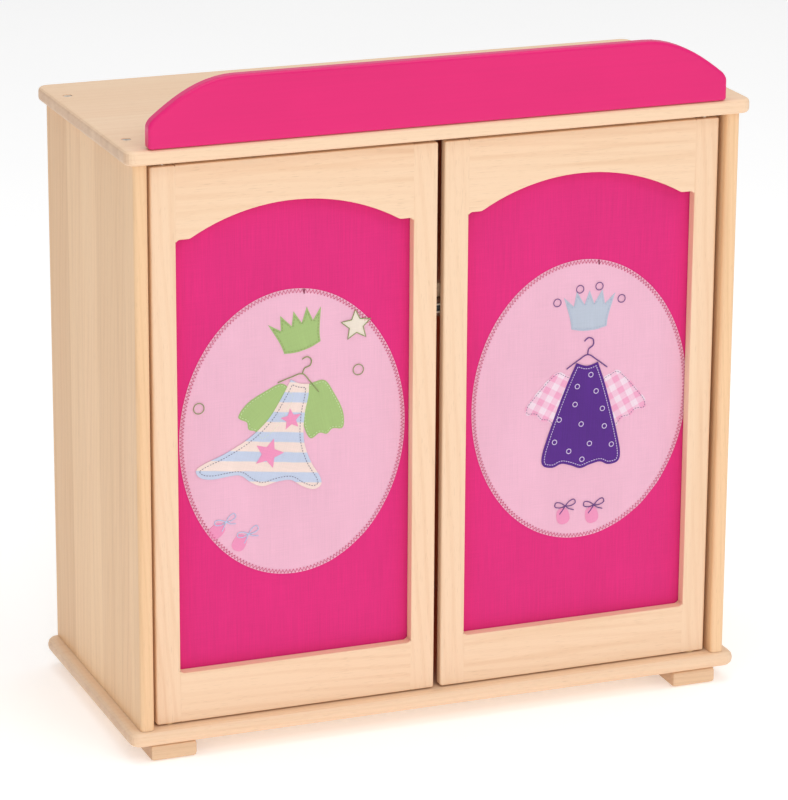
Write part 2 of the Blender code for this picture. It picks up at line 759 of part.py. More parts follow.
def build_fabric(label, side, pivot):
    """The stretched cloth and the four battens that hold its edges, the inner one clear of the catch."""
    reach = CATCH_WIDTH / 2 + CATCH_CLEARANCE
    catch_room = box(
        f"{label}_catch_room",
        (-reach, FABRIC_FRONT, CATCH_TOP - CATCH_HEIGHT - CATCH_CLEARANCE),
        (reach, CATCH_FRONT + CATCH_DEPTH, SHELF_TOP),
        None,
    )
    middle = side * DOOR_MIDDLE
    half = OPENING_HALF_WIDTH + FABRIC_MARGIN
    low, high = OPENING_BOTTOM - FABRIC_MARGIN, ARCH_TOP + FABRIC_MARGIN
    box(
        f"{label}_fabric_panel",
        (middle - half, FABRIC_FRONT, low),
        (middle + half, FABRIC_BACK, high),
        PINK_FABRIC,
        parent=pivot,
    )
    inner = OPENING_HALF_WIDTH + BATTEN_SET_OUT
    outer = inner + BATTEN_WIDTH
    bottom, top = OPENING_BOTTOM - BATTEN_SET_OUT, ARCH_TOP + BATTEN_SET_OUT
    front = FABRIC_BACK + FIT
    back = front + BATTEN_THICKNESS
    spans = {
        "outer": (side * inner, side * outer, bottom - BATTEN_WIDTH, top + BATTEN_WIDTH),
        "inner": (-side * inner, -side * outer, bottom - BATTEN_WIDTH, top + BATTEN_WIDTH),
        "upper": (-inner + FIT, inner - FIT, top, top + BATTEN_WIDTH),
        "lower": (-inner + FIT, inner - FIT, bottom - BATTEN_WIDTH, bottom),
    }
    for where, (x_a, x_b, z_low, z_high) in spans.items():
        batten = box(
            f"{label}_batten_{where}",
            (middle + min(x_a, x_b), front, z_low),
            (middle + max(x_a, x_b), back, z_high),
            PINE_DARK,
            SMALL_EDGE,
            parent=pivot,
            segments=1,
        )
        if where == "inner":
            boolean(batten, catch_room)


def build_pivots(label, side, stile, top, base):
    """The two steel pins that a door turns on, and the washer that it rides on."""
    x = side * PIVOT_X
    spans = {
        "upper": (DOOR_TOP - PIVOT_IN_DOOR, TOP_BOTTOM + PIVOT_IN_BOARD, top, 1),
        "lower": (BASE_TOP - PIVOT_IN_BOARD, DOOR_BOTTOM + PIVOT_IN_DOOR, base, -1),
    }
    for where, (low, high, board, up) in spans.items():
        name = f"{label}_pivot_pin_{where}"
        rod(name, (x, PIVOT_Y, low), (x, PIVOT_Y, high), PIVOT_RADIUS, STEEL, 0.0003)
        in_door = (low - PIVOT_TIP_GAP) if up > 0 else (high + PIVOT_TIP_GAP)
        in_board = (high + FIT) if up > 0 else (low - FIT)
        mouth = (DOOR_TOP + TOP_BOTTOM) / 2 if up > 0 else (DOOR_BOTTOM + BASE_TOP) / 2
        bore = rod(
            f"{name}_bore", (x, PIVOT_Y, in_door), (x, PIVOT_Y, mouth), PIVOT_RADIUS + PIVOT_CLEARANCE, None
        )
        boolean(stile, bore)
        seat = rod(f"{name}_seat", (x, PIVOT_Y, in_board), (x, PIVOT_Y, mouth), PIVOT_RADIUS + FIT, None)
        boolean(board, seat)
    washer = rod(
        f"{label}_pivot_washer",
        (x, PIVOT_Y, BASE_TOP + FIT),
        (x, PIVOT_Y, BASE_TOP + FIT + WASHER_THICKNESS),
        WASHER_RADIUS,
        BRIGHT_STEEL,
    )
    hole = rod(
        f"{label}_pivot_washer_hole",
        (x, PIVOT_Y, BASE_TOP - FIT),
        (x, PIVOT_Y, DOOR_BOTTOM + FIT),
        PIVOT_RADIUS + FIT,
        None,
    )
    boolean(washer, hole)


def build_strike(label, side, stile, pivot):
    """The steel plate that the magnet holds, on the back of the inner stile."""
    x = side * (DOOR_INNER + STRIKE_FROM_EDGE + STRIKE_WIDTH / 2)
    plate = box(
        f"{label}_strike_plate",
        (x - STRIKE_WIDTH / 2, DOOR_BACK + FIT, CATCH_MIDDLE - STRIKE_HEIGHT / 2),
        (x + STRIKE_WIDTH / 2, STRIKE_BACK, CATCH_MIDDLE + STRIKE_HEIGHT / 2),
        BRIGHT_STEEL,
        parent=pivot,
    )
    wood_screw(
        f"{label}_strike_screw", (x, STRIKE_BACK, CATCH_MIDDLE), (0, 1, 0), STRIKE_SCREW, (plate, stile),
        BRIGHT_STEEL, pivot,
    )


def build_door(label, side, top, base):
    pivot = new_empty(f"{label}_pivot", (side * PIVOT_X, PIVOT_Y, DOOR_BOTTOM))
    opening = poly_prism(f"{label}_opening", opening_outline(), 2 * FRAME_THICKNESS)
    opening.location = (side * DOOR_MIDDLE, PIVOT_Y, 0.0)
    outer = build_stile(
        f"{label}_outer_stile", side, DOOR_OUTER, DOOR_OUTER - STILE_WIDTH, True, pivot
    )
    inner = build_stile(
        f"{label}_inner_stile", side, DOOR_INNER + STILE_WIDTH, DOOR_INNER, False, pivot
    )
    stiles = (outer, inner)
    build_rail_member(f"{label}_top_rail", side, TOP_RAIL_BOTTOM, DOOR_TOP, opening, stiles, pivot)
    lower_top = OPENING_BOTTOM + CAP_UNDER_CORNER
    build_rail_member(f"{label}_bottom_rail", side, DOOR_BOTTOM, lower_top, opening, stiles, pivot)
    build_fabric(label, side, pivot)
    build_pivots(label, side, outer, top, base)
    build_strike(label, side, inner, pivot)


def main():
    top, base = build_boards()
    sides = build_sides()
    build_back()
    shelf = build_shelf(sides)
    build_rail(sides)
    build_feet()
    build_board_screws(top, base, sides)
    build_gallery(top)
    build_catch(shelf)
    for label, side in (("left_door", -1), ("right_door", 1)):
        build_door(label, side, top, base)
    bpy.context.view_layer.update()


clear_scene()
PARTS = make_collection("miniature_wardrobe")
CUTTERS = make_collection("cutters")
CUTTERS.hide_render = True
main()
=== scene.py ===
"""Looks of the miniature wardrobe: pine, pink paint, cloth with sewn-on motifs, light and camera."""
from math import cos, exp, hypot, pi, radians, sin, tau

import bmesh
import bpy
from mathutils import Matrix, Vector
from mathutils.geometry import delaunay_2d_cdt


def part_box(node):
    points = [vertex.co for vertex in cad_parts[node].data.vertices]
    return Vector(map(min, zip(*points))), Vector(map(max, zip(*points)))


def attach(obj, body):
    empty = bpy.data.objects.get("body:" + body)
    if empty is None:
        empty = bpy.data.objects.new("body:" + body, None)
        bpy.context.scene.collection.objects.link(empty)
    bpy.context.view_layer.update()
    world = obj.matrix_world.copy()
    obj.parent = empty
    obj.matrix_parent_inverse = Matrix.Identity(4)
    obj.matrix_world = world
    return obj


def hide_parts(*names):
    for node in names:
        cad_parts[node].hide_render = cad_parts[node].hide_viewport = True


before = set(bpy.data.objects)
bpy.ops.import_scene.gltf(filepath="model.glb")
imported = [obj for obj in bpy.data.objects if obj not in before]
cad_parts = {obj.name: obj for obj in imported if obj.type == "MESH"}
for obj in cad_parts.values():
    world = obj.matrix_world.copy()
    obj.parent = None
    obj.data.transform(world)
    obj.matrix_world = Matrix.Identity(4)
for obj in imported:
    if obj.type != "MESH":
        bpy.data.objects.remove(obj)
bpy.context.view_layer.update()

MM = 0.001

# Node trees


class Tree:
    """A material's node tree, built with short calls. A value that is a socket is linked; others are set."""

    def __init__(self, name):
        self.material = bpy.data.materials.new(name)
        self.material.use_nodes = True
        self.nodes = self.material.node_tree.nodes
        self.links = self.material.node_tree.links
        self.shader = self.nodes["Principled BSDF"]

    def fill(self, node, inputs):
        for key, value in inputs.items():
            socket = node.inputs[key]
            if isinstance(value, bpy.types.NodeSocket):
                self.links.new(value, socket)
            else:
                socket.default_value = value

    def add(self, kind, inputs=None, **settings):
        node = self.nodes.new(kind)
        for key, value in settings.items():
            setattr(node, key, value)
        self.fill(node, inputs or {})
        return node

    def math(self, operation, *values):
        node = self.add("ShaderNodeMath", operation=operation)
        self.fill(node, dict(enumerate(values)))
        return node.outputs[0]

    def plus(self, first, *others):
        for other in others:
            first = self.math("ADD", first, other)
        return first

    def times(self, value, factor):
        return self.math("MULTIPLY", value, factor)

    def vector(self, operation, *values):
        node = self.add("ShaderNodeVectorMath", operation=operation)
        self.fill(node, dict(enumerate(values)))
        return node.outputs[0]

    def split(self, vector):
        return self.add("ShaderNodeSeparateXYZ", {0: vector}).outputs

    def noise(self, place, cells, detail=2.0, roughness=0.5):
        """Noise with the given number of cells to a metre along each axis."""
        inputs = {
            "Vector": self.vector("MULTIPLY", place, cells),
            "Scale": 1.0,
            "Detail": detail,
            "Roughness": roughness,
        }
        return self.add("ShaderNodeTexNoise", inputs).outputs["Fac"]

    def ramp(self, value, low, high, to_low=0.0, to_high=1.0, smooth=False):
        node = self.add(
            "ShaderNodeMapRange",
            {0: value, 1: low, 2: high, 3: to_low, 4: to_high},
            interpolation_type="SMOOTHSTEP" if smooth else "LINEAR",
        )
        return node.outputs[0]

    def mix(self, share, a, b, blend="MIX"):
        node = self.add("ShaderNodeMix", data_type="RGBA", blend_type=blend)
        self.fill(node, {0: share, 6: a, 7: b})
        return node.outputs[2]

    def tint(self, colour, factor):
        return self.mix(1.0, colour, factor, "MULTIPLY")

    def grey(self, shade):
        return self.add("ShaderNodeCombineColor", {0: shade, 1: shade, 2: shade}).outputs[0]

    def position(self):
        return self.add("ShaderNodeTexCoord").outputs["Object"]

    def bump(self, height, distance, strength=1.0):
        node = self.add("ShaderNodeBump", {"Height": height, "Distance": distance, "Strength": strength})
        return node.outputs["Normal"]

    def finish(self, **inputs):
        self.fill(self.shader, {key.replace("_", " "): value for key, value in inputs.items()})
        return self.material


def rgb(*colour):
    return (*colour, 1.0)


def cells(number):
    """The same number of noise cells to a metre along every axis."""
    return (number, number, number)


# Pine. A noise's cells to a metre go across the board, through it and along the grain.
PINE_LIGHT = (0.912, 0.664, 0.452)
PINE_DARK = (0.76, 0.47, 0.265)
PORE_COLOUR = (0.52, 0.32, 0.17)
BLUSH_TINT = (1.0, 0.93, 0.90)
END_GRAIN_TINT = (0.68, 0.60, 0.56)
FIBRE_CELLS = (900.0, 900.0, 11.0)
PORE_CELLS = (1900.0, 1900.0, 95.0)
CLOUD_CELLS = (16.0, 16.0, 2.6)
STREAK_CELLS = (120.0, 120.0, 3.2)
RING_PITCH = 0.0075
RING_STRETCH = (0.80, 1.6)
RING_DRIFT = (0.035, 0.020)  # per metre along the grain
RING_WANDER, WANDER_CELLS = 0.030, (5.0, 5.0, 2.2)
RING_SPREAD, SPREAD_CELLS = 0.011, (70.0, 70.0, 1.4)
# These keep one board's and one lamella's draw of wood apart from the next one's.
LAMELLA_SHIFT, SEED_STEP, DRAW_REACH = 0.37, 7.13, (1.7, 1.3, 2.9)


def late_wood(t, place):
    """Where the growth rings' dark wood shows: rings about a pith that wanders along the board."""
    x, y, along = t.split(place)
    x = t.times(t.plus(x, t.times(along, RING_DRIFT[0])), RING_STRETCH[0])
    y = t.times(t.plus(y, t.times(along, RING_DRIFT[1])), RING_STRETCH[1])
    wander = t.times(t.noise(place, WANDER_CELLS), RING_WANDER)
    spread = t.times(t.noise(place, SPREAD_CELLS), RING_SPREAD)
    ring = t.math("SINE", t.times(t.plus(x, y, wander, spread), tau / RING_PITCH))
    return t.ramp(ring, 0.0, 1.0, smooth=True)


def end_facing(t, axis):
    """1 where the surface faces along the grain, as a board's end does, and 0 elsewhere."""
    facing = t.split(t.add("ShaderNodeTexCoord").outputs["Normal"])["xyz".index(axis)]
    return t.ramp(t.math("ABSOLUTE", facing), 0.55, 0.95, smooth=True)


def wood(name, axes, seed, strip=None, light=PINE_LIGHT, dark=PINE_DARK, figure=1.0, glued=0.14):
    """Lacquered pine. axes names the width, the thickness and the grain's direction.

    strip is a lamella's width, glued the most that a lamella darkens, and figure how strongly rings show.
    """
    t = Tree(name)
    split = t.split(t.position())
    across, deep, along = (split["xyz".index(axis)] for axis in axes)
    shift = seed * LAMELLA_SHIFT
    lamella = t.math("FLOOR", t.plus(t.math("DIVIDE", across, strip), shift)) if strip else 0.0
    number = t.plus(lamella, seed * SEED_STEP)
    draw = t.add("ShaderNodeTexWhiteNoise", {"W": number}, noise_dimensions="1D").outputs["Color"]
    tone = t.add("ShaderNodeSeparateColor", {0: draw}).outputs[0]
    place = t.add("ShaderNodeCombineXYZ", {0: across, 1: deep, 2: along}).outputs[0]
    place = t.vector("ADD", place, t.vector("MULTIPLY", draw, DRAW_REACH))
    fibre = t.noise(place, FIBRE_CELLS, 3.0, 0.6)
    cloud = t.noise(place, CLOUD_CELLS)
    pore = t.ramp(t.noise(place, PORE_CELLS, 1.0), 0.62, 0.76, smooth=True)
    streak = t.ramp(t.noise(place, STREAK_CELLS), 0.50, 0.74, smooth=True)
    rings = t.times(late_wood(t, place), t.ramp(cloud, 0.3, 0.7, 0.04 * figure, 0.26 * figure))
    share = t.plus(
        rings,
        t.times(streak, 0.30 * figure),
        t.ramp(fibre, 0.25, 0.75, -0.06, 0.12),
        t.ramp(tone, 0.0, 1.0, -0.04, glued if strip else 0.05),
    )
    share = t.math("MINIMUM", t.math("MAXIMUM", share, 0.0), 1.0)
    colour = t.mix(share, rgb(*light), rgb(*dark))
    blush = t.ramp(cloud, 0.42, 0.75, 0.0, 0.30)
    colour = t.mix(blush, colour, t.tint(colour, rgb(*BLUSH_TINT)))
    colour = t.mix(t.times(pore, 0.26), colour, rgb(*PORE_COLOUR))
    patch = t.ramp(t.noise(place, cells(60.0)), 0.3, 0.7, 0.35, 0.80)
    end_grain = t.times(end_facing(t, axes[2]), patch)
    colour = t.mix(end_grain, colour, t.tint(colour, rgb(*END_GRAIN_TINT)))
    height = t.math("SUBTRACT", t.times(fibre, 0.5), pore)
    return t.finish(
        Base_Color=colour,
        Roughness=t.ramp(fibre, 0.2, 0.8, 0.40, 0.54),
        Normal=t.bump(height, 0.00006, 0.6),
        Coat_Weight=0.10,
        Coat_Roughness=0.32,
    )


# Paint, cloth, thread, metal and plastic


def paint(name, colour):
    """Gloss paint on wood, with faint grain and brush relief under the gloss, slightly deeper in places."""
    t = Tree(name)
    place = t.position()
    grain = t.noise(place, (6.0, 300.0, 420.0), 3.0)
    peel = t.noise(place, cells(260.0))
    cloud = t.noise(place, (9.0, 9.0, 16.0))
    share = t.plus(t.ramp(cloud, 0.3, 0.7, 0.0, 0.5), t.ramp(grain, 0.3, 0.7, 0.0, 0.25))
    deep = tuple(part * 0.90 for part in colour)
    return t.finish(
        Base_Color=t.mix(share, rgb(*colour), rgb(*deep)),
        Roughness=t.ramp(peel, 0.3, 0.7, 0.30, 0.40),
        Normal=t.bump(t.plus(t.times(grain, 0.6), t.times(peel, 0.4)), 0.00010, 0.5),
        Coat_Weight=0.32,
        Coat_Roughness=0.10,
        Specular_IOR_Level=0.22,
    )


def weave_height(t, place, pitch):
    """Height of a plain weave in the XZ plane, its threads a pitch apart and a little uneven."""
    x, _, z = t.split(place)
    uneven = t.times(t.noise(place, cells(90.0)), 1.2)
    warp = t.plus(t.times(x, pi / pitch), uneven)
    weft = t.plus(t.times(z, pi / pitch), uneven)
    return t.math("ABSOLUTE", t.times(t.math("SINE", warp), t.math("COSINE", weft)))


WEAVE_PITCH = 0.00042


def cloth(name, colour=None, slub=0.10, pattern=None):
    """Woven cotton of one colour, or of a pattern's. slub is how uneven its upright threads are."""
    t = Tree(name)
    place = t.position()
    height = weave_height(t, place, WEAVE_PITCH)
    upright = t.noise(place, (1300.0, 300.0, 26.0), 2.0, 0.6)
    level = t.noise(place, (40.0, 300.0, 1300.0), 2.0, 0.6)
    cloud = t.noise(place, (22.0, 22.0, 11.0), 3.0)
    base = pattern(t, place) if pattern else rgb(*colour)
    shade = t.plus(
        t.ramp(upright, 0.25, 0.75, 1.0 - slub, 1.0 + slub),
        t.ramp(level, 0.3, 0.7, -0.02, 0.03),
        t.ramp(cloud, 0.3, 0.7, -0.03, 0.03),
        # Darker in the weave's low places and lighter on its raised threads: painted shade and painted
        # highlight of the weave's relief
        t.ramp(height, 0.0, 0.6, -0.05, 0.03),
    )
    return t.finish(
        Base_Color=t.tint(base, t.grey(shade)),
        Roughness=t.ramp(upright, 0.2, 0.8, 0.78, 0.92),
        Normal=t.bump(t.plus(height, t.times(upright, 0.8)), 0.00010, 0.7),
        Sheen_Weight=0.12,
        Sheen_Roughness=0.45,
        Specular_IOR_Level=0.25,
    )


def stripes(low, high, width, lean):
    """Stripes across a piece's own frame, turned by lean, their edges a little uneven."""

    def pattern(t, place):
        x, _, z = t.split(place)
        uneven = t.times(t.noise(place, (60.0, 60.0, 20.0)), 0.0012)
        rise = t.plus(t.times(z, cos(lean)), uneven)
        rise = t.math("SUBTRACT", rise, t.times(x, sin(lean)))
        wave = t.math("SINE", t.times(rise, pi / width))
        return t.mix(t.ramp(wave, -0.10, 0.10, smooth=True), rgb(*low), rgb(*high))

    return pattern


def gingham(white, pink, width):
    """Checks of two crossing stripes in a piece's own frame."""

    def pattern(t, place):
        x, _, z = t.split(place)
        bands = []
        for across in (x, z):
            wave = t.math("SINE", t.times(across, pi / width))
            bands.append(t.ramp(wave, -0.12, 0.12, 0.0, 0.5, smooth=True))
        return t.mix(t.plus(*bands), rgb(*white), rgb(*pink))

    return pattern


def thread(name, colour):
    """Twisted sewing thread."""
    t = Tree(name)
    ply = t.noise(t.position(), cells(1800.0), 1.0)
    shade = t.ramp(ply, 0.3, 0.7, 0.82, 1.12)
    return t.finish(
        Base_Color=t.tint(rgb(*colour), t.grey(shade)),
        Roughness=t.ramp(ply, 0.3, 0.7, 0.45, 0.60),
        Normal=t.bump(ply, 0.00008, 0.6),
        Sheen_Weight=0.25,
    )


def metal(name, colour, roughness):
    """Plated metal with upright brush marks and duller blotches."""
    t = Tree(name)
    place = t.position()
    brushed = t.noise(place, (40.0, 40.0, 900.0), 3.0)
    blotch = t.noise(place, cells(180.0))
    dark = tuple(part * 0.78 for part in colour)
    return t.finish(
        Base_Color=t.mix(t.ramp(blotch, 0.35, 0.75, 0.0, 0.7), rgb(*colour), rgb(*dark)),
        Roughness=t.ramp(brushed, 0.3, 0.7, roughness * 0.8, roughness * 1.3),
        Normal=t.bump(brushed, 0.00003, 0.5),
        Metallic=1.0,
    )


def plastic(name, colour, roughness):
    """Moulded plastic with a fine grain and lighter patches."""
    t = Tree(name)
    place = t.position()
    grain = t.noise(place, cells(1500.0))
    cloud = t.noise(place, cells(90.0))
    light = tuple(min(1.0, part * 1.35 + 0.01) for part in colour)
    return t.finish(
        Base_Color=t.mix(t.ramp(cloud, 0.35, 0.7, 0.0, 0.6), rgb(*colour), rgb(*light)),
        Roughness=t.ramp(grain, 0.3, 0.7, roughness * 0.85, roughness * 1.15),
        Normal=t.bump(grain, 0.00004, 0.5),
    )


# Finishes of the CAD nodes

SIDE_STRIP, TOP_STRIP = 0.040, 0.052  # widths of the glued lamellas
SIDE_PINE = {"light": (0.935, 0.632, 0.370), "dark": (0.74, 0.45, 0.23), "figure": 0.9, "glued": 0.70}
INSIDE_PINE = {"light": (0.80, 0.57, 0.36), "dark": (0.60, 0.38, 0.21)}
FOOT_PINE = {"light": (0.80, 0.55, 0.345), "dark": (0.64, 0.40, 0.225)}
MEMBER_AXES = {"outer_stile": "xyz", "inner_stile": "xyz", "top_rail": "zyx", "bottom_rail": "zyx"}
FIRST_MEMBER_SEED = 31


def dress(node, material):
    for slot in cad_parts[node].material_slots:
        slot.material = material


def dress_frame():
    dress("top_board", wood("top_pine", "yzx", 3, TOP_STRIP, figure=0.55))
    dress("base_board", wood("base_pine", "yzx", 8, TOP_STRIP, figure=0.7))
    dress("hat_shelf", wood("shelf_pine", "yzx", 5, TOP_STRIP))
    dress("left_side_panel", wood("left_side_pine", "yxz", 1, SIDE_STRIP, **SIDE_PINE))
    dress("right_side_panel", wood("right_side_pine", "yxz", 12, SIDE_STRIP, **SIDE_PINE))
    dress("back_panel", wood("back_ply", "xyz", 21, **INSIDE_PINE))
    dress("hanging_rail", wood("rail_dowel", "yzx", 14))
    seed = FIRST_MEMBER_SEED
    for door in ("left_door", "right_door"):
        for member, axes in MEMBER_AXES.items():
            dress(f"{door}_{member}", wood(f"{door}_{member}_pine", axes, seed, figure=0.9))
            seed += 1
    dress("gallery_board", paint("gallery_paint", (0.785, 0.008, 0.172)))
    dress("catch_housing", plastic("catch_plastic", (0.16, 0.075, 0.045), 0.5))
    dress("catch_magnet", plastic("ferrite_grey", (0.06, 0.06, 0.065), 0.6))
    dress_repeats()


def dress_repeats():
    """The pieces that come in pairs and fours, found by words in their names."""
    batten_up = wood("batten_pine", "xyz", 51, **INSIDE_PINE)
    batten_level = wood("batten_pine_level", "zyx", 52, **INSIDE_PINE)
    foot = wood("foot_pine", "yzx", 61, **FOOT_PINE)
    peg = wood("peg_pine", "yzx", 63)
    steel = metal("bright_steel", (0.93, 0.90, 0.84), 0.42)
    zinc = metal("zinc_plate_finish", (0.90, 0.76, 0.50), 0.34)
    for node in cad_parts:
        if "batten" in node:
            dress(node, batten_up if node.endswith(("inner", "outer")) else batten_level)
        elif node.startswith("foot_"):
            dress(node, foot)
        elif node.startswith("shelf_peg"):
            dress(node, peg)
        elif "strike" in node or "washer" in node:
            dress(node, zinc)
        elif "screw" in node or "pin" in node or "pole" in node:
            dress(node, steel)


# Cloth. It is shaped by formula and not by simulation, because it is stretched flat in its frame.

PANEL_INSET = 0.0003
PANEL_THICKNESS = 0.0004
PATCH_THICKNESS = 0.00030
LAYER_GAP = 0.00004
PATCH_STEP = PATCH_THICKNESS + LAYER_GAP
CLAMPED_EDGE, CLAMPED_EASE = 0.008, 0.020  # no wrinkles at the battens, and full ones past the ease
FOLD_FADE = 0.05
# Each wrinkle: offset from the door's middle, lean, width, height, and the levels where it starts and ends
FOLDS = {
    "left_door": [
        (-0.062, 0.010, 0.006, 0.00030, 0.07, 0.30),
        (-0.020, -0.015, 0.009, 0.00035, 0.06, 0.26),
        (0.034, 0.012, 0.005, 0.00028, 0.07, 0.24),
        (0.070, -0.006, 0.007, 0.00045, 0.06, 0.40),
        (0.010, 0.008, 0.012, 0.00030, 0.30, 0.48),
    ],
    "right_door": [
        (-0.070, 0.006, 0.008, 0.00035, 0.06, 0.34),
        (-0.030, -0.010, 0.006, 0.00030, 0.07, 0.25),
        (0.020, 0.014, 0.008, 0.00040, 0.06, 0.28),
        (0.064, 0.010, 0.005, 0.00055, 0.06, 0.36),
        (0.082, -0.004, 0.004, 0.00060, 0.07, 0.42),
        (-0.010, 0.004, 0.012, 0.00030, 0.30, 0.48),
    ],
}


def share_of(value):
    return min(1.0, max(0.0, value))


class Door:
    """Where one door's cloth lies: its box, its middle, and the depth of its front at any place."""

    def __init__(self, name):
        self.name = name
        self.low, self.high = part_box(f"{name}_fabric_panel")
        self.middle = (self.low.x + self.high.x) / 2
        self.folds = FOLDS[name]

    def fold(self, x, z):
        """How far the cloth's upright wrinkles stand proud, in metres."""
        edge = min(x - self.low.x, self.high.x - x, z - self.low.z, self.high.z - z)
        height = 0.0
        for offset, lean, width, tall, low, high in self.folds:
            centre = self.middle + offset + lean * (z - low)
            across = exp(-(((x - centre) / width) ** 2))
            height += tall * across * share_of((z - low) / FOLD_FADE) * share_of((high - z) / FOLD_FADE)
        return height * share_of((edge - CLAMPED_EDGE) / CLAMPED_EASE)

    def front(self, x, z, layer=0.0):
        return self.low.y + PANEL_INSET - self.fold(x, z) - layer


class Spot:
    """Where a flat piece lies: its place on the door, in metres, and its turn."""

    def __init__(self, x=0.0, z=0.0, turn=0.0):
        self.x, self.z, self.turn = x, z, turn

    def on_door(self, x, z):
        c, s = cos(self.turn), sin(self.turn)
        return self.x + x * c - z * s, self.z + x * s + z * c

    def matrix(self):
        return Matrix.Translation((self.x, 0.0, self.z)) @ Matrix.Rotation(-self.turn, 4, "Y")


def finish_mesh(shape, name, material, spot=Spot(), sharp=50):
    mesh = bpy.data.meshes.new(name)
    bmesh.ops.recalc_face_normals(shape, faces=shape.faces)
    shape.to_mesh(mesh)
    shape.free()
    mesh.materials.append(material)
    for face in mesh.polygons:
        face.use_smooth = True
    mesh.set_sharp_from_angle(angle=radians(sharp))
    obj = bpy.data.objects.new(name, mesh)
    bpy.context.scene.collection.objects.link(obj)
    obj.matrix_world = spot.matrix()
    return obj


def sheet_object(name, door, outline, spacing, thickness, layer, material, spot=Spot()):
    """A thin closed sheet on the cloth. Its flat outline is in the piece's own frame."""
    points = [Vector(p) for p in outline + grid_inside(outline, spacing)]
    corners = list(range(len(outline)))
    ring = list(zip(corners, corners[1:] + corners[:1]))
    keep_inside, same_point = 1, 1e-7
    flat, _, faces, _, _, _ = delaunay_2d_cdt(points, ring, [corners], keep_inside, same_point)
    shape = bmesh.new()
    fronts, backs = [], []
    for p in flat:
        depth = door.front(*spot.on_door(p.x, p.y), layer)
        fronts.append(shape.verts.new((p.x, depth, p.y)))
        backs.append(shape.verts.new((p.x, depth + thickness, p.y)))
    edges = set()
    for face in faces:
        shape.faces.new([fronts[i] for i in face])
        shape.faces.new([backs[i] for i in reversed(face)])
        edges.update(zip(face, face[1:] + face[:1]))
    for a, b in sorted(edges):
        if (b, a) not in edges:
            shape.faces.new((fronts[b], fronts[a], backs[a], backs[b]))
    loose = [v for v in shape.verts if not v.link_faces]
    bmesh.ops.delete(shape, geom=loose, context="VERTS")
    return finish_mesh(shape, name, material, spot)


def grid_inside(outline, spacing):
    """Grid points inside an outline, none of them too near it for a sound triangle."""
    xs, zs = [p[0] for p in outline], [p[1] for p in outline]
    columns = int((max(xs) - min(xs)) / spacing)
    rows = int((max(zs) - min(zs)) / spacing)
    clear = spacing * 0.35
    found = []
    for i in range(1, columns):
        for j in range(1, rows):
            p = (min(xs) + i * spacing, min(zs) + j * spacing)
            if inside(p, outline) and clearance(p, outline) > clear:
                found.append(p)
    return found


def inside(p, outline):
    odd = False
    for (ax, az), (bx, bz) in zip(outline, outline[1:] + outline[:1]):
        if (az > p[1]) != (bz > p[1]) and p[0] < ax + (p[1] - az) * (bx - ax) / (bz - az):
            odd = not odd
    return odd


def clearance(p, outline):
    return min(hypot(p[0] - a[0], p[1] - a[1]) for a in outline)


# Outlines and paths


def ellipse(width, height, steps):
    turns = [tau * i / steps for i in range(steps)]
    return [(width / 2 * cos(turn), height / 2 * sin(turn)) for turn in turns]


def circle(radius, at=(0.0, 0.0), steps=14):
    turns = [tau * i / steps for i in range(steps)]
    return [(at[0] + radius * cos(turn), at[1] + radius * sin(turn)) for turn in turns]


def star(radius, waist=0.46):
    """Five points, each corner of the outline a sharp one."""
    turns = [pi / 2 + pi * i / 5 for i in range(10)]
    sizes = [radius if i % 2 == 0 else radius * waist for i in range(10)]
    return [(size * cos(turn), size * sin(turn), 1) for size, turn in zip(sizes, turns)]


def mirrored(right):
    """A closed outline from its right half, which starts and ends on the middle line."""
    left = [(-p[0], *p[1:]) for p in reversed(right[1:-1])]
    return right + left


def catmull_rom(a, b, c, d, u):
    """The curve's place a share u of the way from b to c."""
    square = 2 * a - 5 * b + 4 * c - d
    cube = 3 * b - 3 * c + d - a
    return 0.5 * (2 * b + (c - a) * u + square * u * u + cube * u**3)


def smooth_outline(points, steps=6, closed=True):
    """A curve through points in millimetres, in metres. A point with a third value is a corner."""
    count = len(points)
    out = []
    for i in range(count if closed else count - 1):
        near = [i - 1, i, i + 1, i + 2]
        wrapped = [k % count if closed else min(max(k, 0), count - 1) for k in near]
        before, start, end, after = (points[k] for k in wrapped)
        if len(start) > 2:
            before = start
        if len(end) > 2:
            after = end
        for k in range(steps):
            pairs = zip(before[:2], start[:2], end[:2], after[:2])
            x, z = (catmull_rom(*values, k / steps) for values in pairs)
            out.append((x * MM, z * MM))
    if not closed:
        out.append((points[-1][0] * MM, points[-1][1] * MM))
    return out


def walk(path, step, closed=True):
    """Places a step apart along a path, each with the direction there."""
    points = [Vector(p) for p in path]
    if closed:
        points.append(points[0])
    lengths = [(b - a).length for a, b in zip(points, points[1:])]
    count = max(2, round(sum(lengths) / step))
    gap = sum(lengths) / count
    out, index, passed = [], 0, 0.0
    for k in range(count if closed else count + 1):
        goal = min(k * gap, sum(lengths) - 1e-9)
        while passed + lengths[index] < goal:
            passed += lengths[index]
            index += 1
        a, b = points[index], points[index + 1]
        out.append((a.lerp(b, (goal - passed) / lengths[index]), (b - a).normalized()))
    return out


def inset(path, distance):
    """A closed path, which runs anticlockwise, moved inwards, without the loops that corners would leave."""
    fine_step, near_share = 0.0008, 0.93
    steps = walk(path, fine_step)
    places = [p for p, _ in steps]
    moved = [(p.x - d.y * distance, p.y + d.x * distance) for p, d in steps]
    return [q for q in moved if clearance(q, places) > near_share * distance]


def dashes(path, length, gap):
    """Short runs along a closed path, for a running stitch."""
    runs = []
    for p, d in walk(path, length + gap):
        half = d * (length / 2)
        runs.append([tuple(p - half), tuple(p), tuple(p + half)])
    return runs


